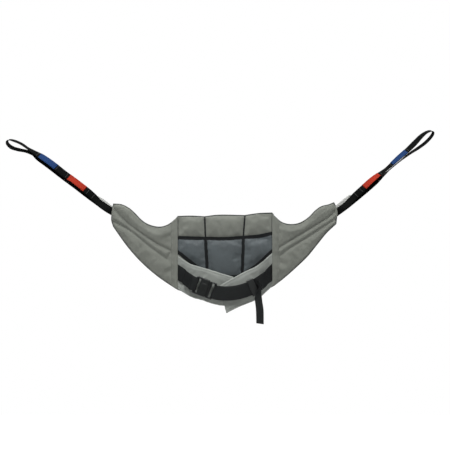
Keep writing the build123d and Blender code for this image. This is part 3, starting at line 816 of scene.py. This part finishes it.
def panel():
    e = PANEL_EDGE
    left, foot_left = ((-e, z) for z in PANEL_CORNERS["left"])
    right, foot_right = ((e, z) for z in PANEL_CORNERS["right"])
    top = np.vstack([
        spline([left, (-127, 147.5), (-75, 145)], 5), spline([(-75, 145), (-20, 151), (72, 149.5)], 5)[1:],
        spline([(72, 149.5), (125, 157), right], 5)[1:],
    ])
    low = spline([foot_right, (90, -147), (0, -156), (-90, -148), foot_left], 5)
    outline = loop_of(top, even([right, foot_right], 5), low, even([foot_left, left], 5))

    def half(points):
        crown = 1 - (points[:, 0] / 210) ** 4
        return np.where(points[:, 1] > 68, 8.4, 6.6) * crown

    body = cushion("panel-cushion", outline, [MESH_TOP_LINE, MESH_LOW_LINE, *CHANNELS], 5.0, half,
                   edge=1.5, seam=0.9, reach=12.0, cap=3.4, region=mesh_region)
    dress(body, "grey_fabric")
    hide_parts("back_outer_cover", "back_foam_left", "back_foam_centre", "back_foam_right",
                "top_cover_left", "top_cover_centre", "top_cover_right", "lower_cover")
    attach(body, "back_panel")
    tree = tree_of(body)

    flat_sizes = (("left", (0.106, 0.098)), ("centre", (0.134, 0.152)), ("right", (0.110, 0.112)))
    for number, (name, flat) in enumerate(flat_sizes, 1):
        net = part_of(body, f"mesh-{name}", number, 0.5, 0.9)
        dress(net, "spacer_mesh")
        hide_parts(f"mesh_{name}")
        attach(net, "back_panel")

    black = Thread()
    for name, line in (("mesh-top-binding", MESH_TOP_LINE), ("mesh-low-binding", MESH_LOW_LINE)):
        tape = trimmed(band(name, laid(tree, line, BINDING, 1.9), 1.1), PANEL_EDGE - 0.7)
        dress(tape, "black_tape")
        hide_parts(name.replace("-", "_").replace("low", "bottom"))
        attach(tape, "back_panel")
        for gap in (-BINDING / 2 + 1.4, BINDING / 2 - 1.4):
            black.sew(tree, beside(line, gap), 2.5, **TAPE_STITCHES)
    for name, line in zip(("left", "right"), CHANNELS):
        x, z = line.T
        over_mesh = line[(z > np.interp(x, *MESH_LOW_LINE.T) + 1) & (z < np.interp(x, *MESH_TOP_LINE.T) + 1)]
        tape = band(f"channel-tape-{name}", laid(tree, over_mesh, CHANNEL_TAPE, 1.7), 1.0)
        dress(tape, "black_tape")
        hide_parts(f"channel_tape_{name}")
        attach(tape, "back_panel")
        for gap in (-4.9, 4.9):
            black.sew(tree, beside(over_mesh, gap), 2.3, **TAPE_STITCHES)
        shown = line[inside(line, outline)][1:-1]
        black.sew(tree, shown, 0.25, front=False)
        band_part = shown[shown[:, 1] > 70]
        upper_end = (band_part[0, 0], np.interp(band_part[0, 0], *top.T) - 1)
        band_part = np.vstack([upper_end, band_part])
        # A wide black strip along the channel seam in the top band: partly the dark seam, partly painted
        # shade in the groove.
        grid = laid(tree, band_part, CHANNEL_SEAM_AND_SHADE, 0.7)
        seam_and_shade_strip = dress(band(f"channel-seam-and-shade-strip-{name}", grid, 0.9), "black_tape")
        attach(seam_and_shade_strip, "back_panel")
        black.sew(tree, band_part, 1.3)
    for line in (MESH_TOP_LINE[2:-2], MESH_LOW_LINE[2:-2]):
        black.sew(tree, line, 0.25, front=False)
    stitches = dress(black.done("panel-stitches"), "black_thread")
    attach(stitches, "back_panel")

    for name, line in (("panel-top-piping", top), ("panel-low-piping", low)):
        piping(name, line, 2.1, "back_panel")
    return tree


# ---------------------------------------------------------------- wings
WING_EDGE = 181.0
WINGS = {
    "left": dict(
        top=[(-181, 138), (-208, 117), (-235, 108), (-263, 110), (-290, 120), (-312, 136), (-333, 158),
             (-355, 177), (-382, 190), (-412, 193)],
        tip=[(-412, 193), (-417, 160), (-419, 133), (-412, 109)],
        low=[(-412, 109), (-387, 73), (-360, 36), (-322, -8), (-279, -49), (-235, -84), (-181, -120)],
        sleeve_top=[(-422, 184), (-408, 170), (-361, 123), (-305, 81), (-250, 45), (-196, 18)],
        sleeve_low=[(-424, 138), (-413, 128), (-347, 90), (-278, 34), (-213, -13)],
        crease=[(-195, 19), (-206, 4), (-213, -13)],
    ),
    "right": dict(
        top=[(181, 149), (209, 125), (242, 117), (275, 122), (307, 141), (334, 168), (356, 183),
             (383, 190), (402, 198)],
        tip=[(402, 198), (410, 180), (414, 160), (410, 119)],
        low=[(410, 119), (374, 85), (335, 37), (303, -2), (257, -46), (217, -81), (181, -109)],
        sleeve_top=[(416, 172), (381, 142), (292, 87), (201, 32), (188, 23)],
        sleeve_low=[(424, 146), (395, 128), (303, 67), (237, 26), (203, -2)],
        crease=[(188, 23), (198, 6), (206, -24)],
    ),
}


def wing(side):
    shape = WINGS[side]
    top, tip, low = (spline(shape[key], 5) for key in ("top", "tip", "low"))
    inner = even([shape["low"][-1], shape["top"][0]], 5)
    outline = loop_of(top, tip, low, inner)
    sewn = [spline(shape[key], 5) for key in ("sleeve_top", "sleeve_low", "crease")]
    sign = SIGN[side]

    def half(points):
        inward = np.abs(points[:, 0]) - WING_EDGE
        return 6.2 + 2.4 * np.clip(inward / 60, 0, 1)

    body = cushion(f"wing-{side}", outline, sewn, 5.0, half, edge=1.4, seam=0.4, reach=11.0, cap=4.0)
    dress(body, "grey_fabric")
    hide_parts(f"wing_outer_cover_{side}", f"wing_inner_cover_{side}", f"wing_foam_{side}",
                f"sleeve_foam_{side}", f"anchor_webbing_{side}")
    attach(body, f"wing_{side}")
    tree = tree_of(body)

    grey = Thread()
    for line in sewn[:2]:
        held = line[inside(line, outline)][1:-2]
        for front in (True, False):
            grey.sew(tree, held, 0.2, front)
    grey.sew(tree, sewn[2], 0.2)
    stitches = dress(grey.done(f"wing-stitches-{side}"), "grey_thread")
    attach(stitches, f"wing_{side}")

    corner, foot = PANEL_CORNERS[side]
    edge = np.vstack([(sign * PANEL_EDGE, corner), top[:-1], tip])
    u, v = on_strap(side, edge)
    near = (np.abs(u) < 40) & (v > MOUTH[side][0] + 4) & (v < MOUTH[side][1] - 4)
    runs = (edge[:np.argmax(near)], edge[len(near) - np.argmax(near[::-1]):])
    runs = (runs[0], np.vstack([runs[1][:-1], low, (sign * PANEL_EDGE, foot)]))
    for number, run in enumerate(runs, 1):
        made = piping(f"wing-piping-{side}-{number}", beside(run, -sign * 0.8), 2.2, f"wing_{side}")
        if number == 1:
            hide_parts(f"wing_edge_binding_{side}")
    return tree


SEAM_ROWS = 60
# A facing strip's face, how far its columns are from the sling's middle, and how far they stand off the
# cushions.
FACINGS = (
    ("front", (174.5, 177, 180, 184, 189, 194, 199), (5.5, 5.8, 5.6, 4.6, 3.1, 1.5, 0.0)),
    ("back", (171, 174, 178, 182, 186), (0.4, 1.2, 1.6, 1.2, 0.4)),
)


def seam(side, panel_tree, wing_tree):
    """The seam between a wing and the panel: a flat core, and a facing strip on each face."""
    sign = SIGN[side]
    high_line, low_line = (
        np.array([(168, z), (PANEL_EDGE, z)] + [(abs(x), z) for x, z in keys])
        for z, keys in zip(PANEL_CORNERS[side], (WINGS[side]["top"][:3], WINGS[side]["low"][:-3:-1])))
    share = np.linspace(0, 1, SEAM_ROWS)

    def upright(x, trim):
        high = np.interp(x, *high_line.T) - trim
        low = np.interp(x, *low_line.T) + trim
        return low + (high - low) * share

    def sheet_at(xs, ys, zs):
        """A grid with one column at each distance from the sling's middle."""
        return np.stack([np.stack([np.full(SEAM_ROWS, sign * x), y, z], axis=1)
                         for x, y, z in zip(xs, ys, zs)], axis=1)

    def blended(obj):
        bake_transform(obj)
        return obj

    columns = np.linspace(171, 185, 5)
    flat = np.full((len(columns), SEAM_ROWS), MID_Y)
    core = band(f"seam-core-{side}", sheet_at(columns, flat, [upright(x, 1.5) for x in columns]), 1.4)
    blended(dress(core, "dark_grey_binding"))
    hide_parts(f"panel_seam_{side}", f"wing_seam_{side}")
    for name, columns, rise in FACINGS:
        front = name == "front"
        away = -1 if front else 1
        z_at = [upright(x, 0.8) for x in columns]
        edges = []
        for x, z, tree in ((columns[0], z_at[0], panel_tree), (columns[-1], z_at[-1], wing_tree)):
            y = surface(tree, [(sign * x, row) for row in z], front)
            edges.append(np.convolve(np.pad(y, 3, mode="edge"), np.ones(7) / 7, "valid"))
        across = (np.array(columns) - columns[0]) / (columns[-1] - columns[0])
        y_at = [edges[0] * (1 - part) + edges[1] * part + away * (lift + 0.5)
                for part, lift in zip(across, rise)]
        grid = sheet_at(columns, y_at, z_at)
        ripple = np.sin(share * 31 + sign) + np.sin(share * 57 + 2 * sign)
        grid[:, :, 1] += ripple[:, None] * np.linspace(0.1, 0.4, len(columns))[None, :]
        facing = band(f"seam-facing-{name}-{side}", grid, 1.2)
        blended(dress(facing, "grey_fabric"))
        rows = Thread()
        rows.row(grid[2:-2, -2] + (0, away * 0.75, 0), (0, away, 0))
        blended(dress(rows.done(f"seam-stitches-{name}-{side}"), "grey_thread"))


# ---------------------------------------------------------------- lifting straps
# Each key of a strap: the length along it from the wing's tip, the distance across it, how far it stands
# in front of the middle plane, and how many degrees its width is turned towards the viewer.
STRAPS = {
    "left": dict(slope=37.0, keys=[
        (-24, 0, 1.5, 0), (0, -0.5, 1.6, 0), (12, -2, 3.2, -12), (30, -4.5, 6, -30), (56, -4.5, 5.5, -28),
        (88, 1, 2.8, -12), (116, 4.0, 2.6, -18), (150, 5.6, 3.8, -32), (190, 5.8, 4.0, -34),
        (230, 4.2, 2.6, -20), (268, 5.8, 3.2, -28), (310, 5.6, 3.4, -34), (338, 4.0, 2.4, -42),
        (366, 1.6, 1.0, -60), (392, -1.2, 0, -72), (420, -2.5, 0, -70), (446, -8.5, 0, -68),
        (464, -16, 0, -72), (469, -24, 0, -72), (461, -33, 0, -66), (440, -34.5, 0, -58),
        (415, -25.5, 0, -56), (390, -13.5, 0, -60), (362, -4.8, -1.0, -54), (336, -4.2, -1.6, -14),
        (290, -3.6, -1.5, 0), (230, -4.2, -1.4, 0), (160, -4.0, -1.6, 0), (100, -4.6, -1.6, 0),
        (40, -3.2, -2.4, 0), (0, -0.8, -1.8, 0), (-24, -0.5, -1.8, 0)]),
    "right": dict(slope=39.3, keys=[
        (-24, 0, 1.5, 0), (0, -0.5, 1.6, 0), (12, -1, 3.2, -12), (30, -1.5, 6, -32), (56, 0, 5.5, -30),
        (88, 3.6, 3.4, -18), (112, 5.4, 3.2, -22), (140, 8.0, 4.4, -36), (176, 9.8, 4.6, -44),
        (206, 9.0, 3.0, -54), (240, 7.4, 1.0, -64), (270, 8.5, 0.2, -58), (305, 10.5, 0, -52),
        (340, 11.5, 0, -48), (380, 15.0, 0, -44), (415, 19.5, 0, -54), (440, 19.0, 0, -66),
        (457, 12.5, 0, -68), (460, 3.5, 0, -70), (447, -4.0, 0, -68), (415, -8.5, 0, -66),
        (380, -7.0, 0, -66), (345, -3.2, 0, -72), (300, -1.8, 0, -84), (250, -2.2, -0.2, -88),
        (212, -3.4, -0.8, -70), (176, -2.6, -1.6, -30), (130, -2.8, -1.8, -8), (80, -3.2, -2.0, 0),
        (40, -3.0, -2.4, 0), (0, -0.8, -1.8, 0), (-24, -0.5, -1.8, 0)]),
}
# Where the coloured loops start and stop, and where the bar tacks are, along each strap.
TABS = {"left": dict(red=(134, 208), blue=(268, 342)), "right": dict(red=(136, 208), blue=(270, 340))}
TACKS = {"left": (92, 118, 216, 262, 350), "right": (92, 118, 214, 262, 346)}
WHITE_LOOP = ((-18, 0, -3.8), (2, 0, -3.9), (20, 0.6, -4.5), (40, 1.0, -4.7), (60, 0.6, -4.7),
              (78, -1.0, -4.7))
WHITE_RAISED = {"left": 3.0, "right": 8.0}      # how far above the strap's middle the white loop runs
WEB, TAB, STRAP_WIDTH = 2.2, 1.3, 25.0
INSIDE_WING = 24.0              # how far the strap runs on into the wing's sleeve before it is cut
MOUTH = {"left": (-15.0, 17.5), "right": (-15.0, 22.5)}     # the sleeve's mouth, across the strap


def on_strap(side, points):
    """Points in X and Z as lengths along the strap, from the wing's tip, and distances across it."""
    a = math.radians(STRAPS[side]["slope"])
    off = points * (SIGN[side], 1) - EXIT
    return off @ (math.cos(a), math.sin(a)), off @ (-math.sin(a), math.cos(a))


def tip_edge(side, v):
    """How far along the strap the wing's tip ends, at distances v across the strap."""
    tip_u, tip_v = on_strap(side, spline(WINGS[side]["tip"], 2))
    order = np.argsort(tip_v)
    return np.interp(v, tip_v[order], tip_u[order])


def cut_at_tip(obj, side, along, depth):
    """Cut the inner end of a strip along the wing's tip, so much inside it."""
    co = verts_of(obj)
    u, v = on_strap(side, co[:, [0, 2]])
    co += along * np.maximum(tip_edge(side, v) - depth - u, 0)[:, None]
    set_verts(obj, co)


# The hem's rings, from inside the wing round to inside the sleeve: how far past the tip, and the depths of
# its front and back.
HEM = ((-9, 2.2, 2.2), (-4.5, 3.5, 4.4), (0, 4.2, 5.2), (1.6, 4.1, 5.1), (1.3, 3.5, 4.5), (-6, 3.3, 4.3))


def sleeve_mouth(side, place):
    """The hem of the wing's sleeve: it follows the tip's edge and closes round the strap."""
    turns = np.linspace(0, 2 * math.pi, 49)[:-1]
    squared = [np.sign(wave) * np.abs(wave) ** 0.6 for wave in (np.cos(turns), np.sin(turns))]
    v = np.mean(MOUTH[side]) + np.ptp(MOUTH[side]) / 2 * squared[0]
    rings = []
    for past_tip, front, back in HEM:
        w = squared[1] * np.where(squared[1] > 0, front, back)
        rings.append([place(*values) for values in zip(tip_edge(side, v) + past_tip, v, w)])
    n = len(turns)
    faces = [(i * n + j, i * n + (j + 1) % n, (i + 1) * n + (j + 1) % n, (i + 1) * n + j)[::-SIGN[side]]
             for i in range(len(HEM) - 1) for j in range(n)]
    at = np.repeat(np.cumsum([0, 5, 5, 2, 1.2, 8]), n)
    cloth = np.stack([at, np.tile(turns * 14, len(HEM)), np.zeros(n * len(HEM))], axis=1)
    hem = mesh_object(f"sleeve-hem-{side}", np.vstack(rings), faces, cloth)
    dress(smoothed(hem), "grey_fabric")
    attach(hem, f"wing_{side}")


def strap(side):
    shape = STRAPS[side]
    sign = SIGN[side]
    a = math.radians(shape["slope"])
    along = np.array([math.cos(a), 0, math.sin(a)])
    up = np.array([-math.sin(a), 0, math.cos(a)])
    out = np.array([0, -1, 0])
    flip = np.array([sign, 1, 1])

    def place(u, v, w):
        """The point u along the strap, v across it and w towards the viewer."""
        return (np.array([EXIT[0], MID_Y, EXIT[1]]) + along * u + up * v + out * w) * flip

    def across(turn):
        return (up * math.cos(math.radians(turn)) + out * math.sin(math.radians(turn))) * flip

    def at_wing(obj):
        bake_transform(obj)

    path = ribbon_path([(place(u, v, w), across(turn)) for u, v, w, turn in shape["keys"]])
    doubled = strip(f"strap-{side}", path, STRAP_WIDTH, WEB)
    # The darkened copy of the black webbing: painted shade on the strap.
    dress(doubled, "strap_webbing")
    cut_at_tip(doubled, side, along * flip, 4)
    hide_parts(f"strap_webbing_{side}")
    at_wing(doubled)

    toward = -sign              # a strip's normal faces the viewer on the left, mirrored side only
    level = toward * (WEB + TAB) / 2
    proud = WEB / 2 + TAB + 0.1
    thread_rows = Thread()
    for color, (start, stop) in TABS[side].items():
        run = stretch(path, start + INSIDE_WING, stop + INSIDE_WING)
        tab = strip(f"{color}-loop-{side}", run, STRAP_WIDTH - 0.4, TAB, lift=level)
        dress(tab, f"{color}_webbing")
        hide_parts(f"{color}_loop_{side}")
        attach(tab, f"strap_{side}")
        normal = unit(np.cross(run[1], tangents(run[0]))) * toward
        for off in (-9.8, 9.8):
            edge = run[0] + run[1] * off + normal * proud
            thread_rows.row(edge, normal, pitch=3.2, run=2.2, thick=0.3)
        for end in (2, -3):
            cross = run[0][end] + run[1][end] * np.linspace(-10, 10, 9)[:, None] + normal[end] * proud
            thread_rows.row(cross, normal[end], pitch=2.6, run=2.0, thick=0.3)
    stitches = dress(thread_rows.done(f"tab-stitches-{side}"), "black_thread")
    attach(stitches, f"strap_{side}")

    sleeve_mouth(side, place)

    white_path = ribbon_path([(place(u, v + WHITE_RAISED[side], w), across(0)) for u, v, w in WHITE_LOOP])
    white = strip(f"white-loop-{side}", white_path, STRAP_WIDTH, TAB)
    dress(white, "white_webbing")
    cut_at_tip(white, side, along * flip, 3)
    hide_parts(f"white_loop_{side}")
    at_wing(white)

    for number, start in enumerate(TACKS[side], 1):
        run = stretch(path, start + INSIDE_WING, start + INSIDE_WING + 3)
        tack = strip(f"bar-tack-{side}-{number}", run, STRAP_WIDTH - 4, 0.8, lift=toward * (WEB / 2 + 0.4))
        dress(tack, "black_thread")
        if number == 1:
            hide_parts(f"strap_bar_tacks_{side}")
        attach(tack, f"strap_{side}")


# ---------------------------------------------------------------- waist belt
WEB_ARC_X, WEB_ARC_Z, WEB_ARC_R = 1.0, 105.0, 238.0      # the arc the webbing follows, seen from the front
BELT_WIDTH, BELT_THICK = 50, 2.0
REAR_R, FRONT_R = 423.7, 429.5          # middles of the webbing's rear and front layers
PAD_R = {"left": 404.0, "right": 412.6}  # the bows of the two padded halves
PADS = {
    "left": dict(
        top=[(-176, 6), (-150, -13.5), (-123, -28), (-69, -43), (33, -74)],
        end=[(33, -74), (39, -100), (34, -184)],
        low=[(34, -184), (-31, -177), (-88, -160), (-127, -149), (-176, -122)],
    ),
    "right": dict(
        top=[(176, 14), (118, -32), (65, -57), (-19, -104)],
        end=[(-19, -104), (-7, -160), (0, -192), (5, -207)],
        low=[(5, -207), (52, -184), (115, -159), (150, -134), (176, -111)],
    ),
}


SEWN_X, SEWN_Y = 176.0, -10.5           # where the pads and the webbing run into the side seams
SEWN_FROM = 122.0                       # where they start to leave the bow


def bow_y(x, r):
    """Depth of a bow of radius r round the belt's axis."""
    return BELT_AXIS_Y - np.sqrt(r ** 2 - x ** 2)


def into_seam(x, y):
    """Depth of a belt layer whose ends leave the bow and run into the side seams."""
    t = np.clip((np.abs(x) - SEWN_FROM) / (SEWN_X - SEWN_FROM), 0, 1)
    return y + (SEWN_Y - y) * t * t * (3 - 2 * t)


def bowed(points, r):
    """Points drawn about the panels' middle plane, moved onto the belt's bow of radius r."""
    x, y, z = points.T
    off = y - MID_Y
    moved_x = x - off * x / r * (np.abs(x) < SEWN_FROM)
    return np.stack([moved_x, into_seam(x, bow_y(x, r)) + off * np.sqrt(1 - (x / r) ** 2), z], axis=1)


UPRIGHT = np.array([0.0, 0.0, 1.0])


BUCKLE_LEAN = BUCKLE_X / BUCKLE_R
BUCKLE = np.array([BUCKLE_X, bow_y(BUCKLE_X, BUCKLE_R), BUCKLE_Z])
BUCKLE_OUT = np.array([BUCKLE_LEAN, -math.sqrt(1 - BUCKLE_LEAN ** 2), 0])
BUCKLE_LEVEL = np.array([-BUCKLE_OUT[1], BUCKLE_LEAN, 0])
BUCKLE_ALONG = BUCKLE_LEVEL * math.cos(BUCKLE_TILT) - UPRIGHT * math.sin(BUCKLE_TILT)
BUCKLE_ACROSS = BUCKLE_LEVEL * math.sin(BUCKLE_TILT) + UPRIGHT * math.cos(BUCKLE_TILT)


def with_belt(obj):
    """Bake the piece's placement into its mesh."""
    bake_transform(obj)


HEM_GAP = 8.5                   # from a pad's edge to the stitches beside it


def belt_pad(side):
    shape, r = PADS[side], PAD_R[side]
    top, end, low = (spline(shape[key], 4.5) for key in ("top", "end", "low"))
    fixed = even([shape["low"][-1], shape["top"][0]], 4.5)
    outline = loop_of(top, end, low, fixed)
    gap = SIGN[side] * HEM_GAP
    hem = (beside(top, gap)[1:-2], beside(end, gap)[2:-2], beside(low, gap)[2:-1])
    hem = [line[inside(line, outline)] for line in hem]

    def half(points):
        sewn_end = np.clip((176 - np.abs(points[:, 0])) / 30, 0, 1)
        return 1.6 + 1.9 * sewn_end

    body = cushion(f"belt-pad-{side}", outline, hem, 4.5, half,
                   edge=0.9, seam=1.9, reach=5.0, cap=1.0, bend=3.0)
    tree = tree_of(body)
    rows = Thread()
    for line in hem:
        for front in (True, False):
            points = bowed(on_cushion(tree, line, 0.15, front), r)
            rows.row(points, (0, -1, 0) if front else (0, 1, 0), pitch=3.6, run=2.5, thick=0.34)
    set_verts(body, bowed(verts_of(body), r))
    dress(body, "light_grey_fabric")
    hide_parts(f"belt_inner_cover_{side}", f"belt_foam_{side}", f"belt_outer_cover_{side}")
    with_belt(body)
    stitches = dress(rows.done(f"belt-stitches-{side}"), "grey_thread")
    with_belt(stitches)


def web_z(x):
    return WEB_ARC_Z - math.sqrt(WEB_ARC_R ** 2 - (x - WEB_ARC_X) ** 2)


def on_arc(x, r):
    """A key of the belt webbing: its middle at x, and the direction across it."""
    out = np.array([x / r, -math.sqrt(1 - (x / r) ** 2), 0])
    slope = (x - WEB_ARC_X) / math.sqrt(WEB_ARC_R ** 2 - (x - WEB_ARC_X) ** 2)
    along = unit(np.array([1, x / math.sqrt(r ** 2 - x ** 2), slope]))
    return np.array([x, bow_y(x, r), web_z(x)]), np.cross(out, along)


def in_buckle(u, w):
    """A key of webbing in the buckle: u along it from its middle, and w out of it."""
    return BUCKLE + BUCKLE_ALONG * u + BUCKLE_OUT * w, BUCKLE_ACROSS


def belt_run(name, keys, step, node_name):
    """One run of the belt's webbing, in place of its CAD piece."""
    run = strip(name, ribbon_path(keys, step), BELT_WIDTH, BELT_THICK, cols=11)
    dress(run, "black_webbing")
    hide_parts(node_name)
    return run


PLUG_TURN = ((43, 4.2), (36, 4.1), (31.4, 4.4), (30.2, 7.0), (31.4, 9.6), (36, 9.9), (43, 9.8))
SOCKET_TURN = ((-50, 4.2), (-36, 4.1), (-31.6, 4.4), (-30.3, 7.0), (-31.6, 9.6), (-36, 9.9), (-52, 8.6))
LEFT_SEWN = ((-194, SEWN_Y - 3, -47.2), (-156, -27, -70.5), (-138, -47, -83))
LEFT_BACK = ((-131, -58.5, -89), (-147, -45.5, -77.5))
RIGHT_SEWN = ((146, -47.5, -83), (161, -31, -71), (194, SEWN_Y - 3, -42.0))
TAIL = (                        # points of the tail, and the direction across it there
    ((119, -80, -102), (-0.3, -0.5, 0.8)), ((123, -91, -105), (-0.05, -0.9, 0.4)),
    ((122, -101, -119), (0.3, -0.95, 0.1)), ((120, -104, -150), (0.5, -0.87, 0)),
    ((125, -104, -190), (0.52, -0.86, 0)), ((126, -104, -241), (0.5, -0.87, 0)),
)


def belt_webbing():
    keys = [on_arc(x, REAR_R) for x in (126, 112, 100, 80, 50, 20, -8)]
    keys += [in_buckle(u, w) for u, w in PLUG_TURN]
    keys += [on_arc(x, FRONT_R) for x in (-8, 15, 40, 62, 84, 104)]
    loop = belt_run("belt-loop", keys, 2.5, "belt_loop_webbing")
    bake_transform(loop)

    keys = [(point, UPRIGHT) for point in LEFT_SEWN]
    keys += [in_buckle(u, w) for u, w in SOCKET_TURN]
    keys += [(point, UPRIGHT) for point in LEFT_BACK]
    left = belt_run("belt-webbing-left", keys, 2.5, "belt_webbing_left")
    with_belt(trimmed(left, PANEL_EDGE - 0.7, rise=0.62, dip=7.0))

    keys = [on_arc(126.5, REAR_R)] + [(point, UPRIGHT) for point in RIGHT_SEWN]
    right = belt_run("belt-webbing-right", keys, 3, "belt_webbing_right")
    with_belt(trimmed(right, PANEL_EDGE - 0.7, rise=0.86, dip=10.4))

    keys = [on_arc(105, FRONT_R), on_arc(113, FRONT_R + 1)]
    keys += [(point, unit(across)) for point, across in TAIL]
    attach(belt_run("belt-tail", keys, 3, "belt_tail"), "tail")


MOULDED = ("buckle_socket", "buckle_plug", "buckle_prong_upper", "buckle_prong_lower", "webbing_keeper")


def hardware():
    """The moulded parts keep their CAD shape, with broken edges and their own plastic."""
    for name in MOULDED:
        part = NODES[name]
        part.data.materials.clear()
        part.data.materials.append(MATS["black_plastic"])
        bevel = part.modifiers.new("edges", "BEVEL")
        bevel.width, bevel.segments, bevel.limit_method = 0.0004, 2, "ANGLE"
        bevel.angle_limit = math.radians(40)


stage()
panel_tree = panel()
for side in ("left", "right"):
    wing_tree = wing(side)
    seam(side, panel_tree, wing_tree)
    strap(side)
    belt_pad(side)
belt_webbing()
hardware()
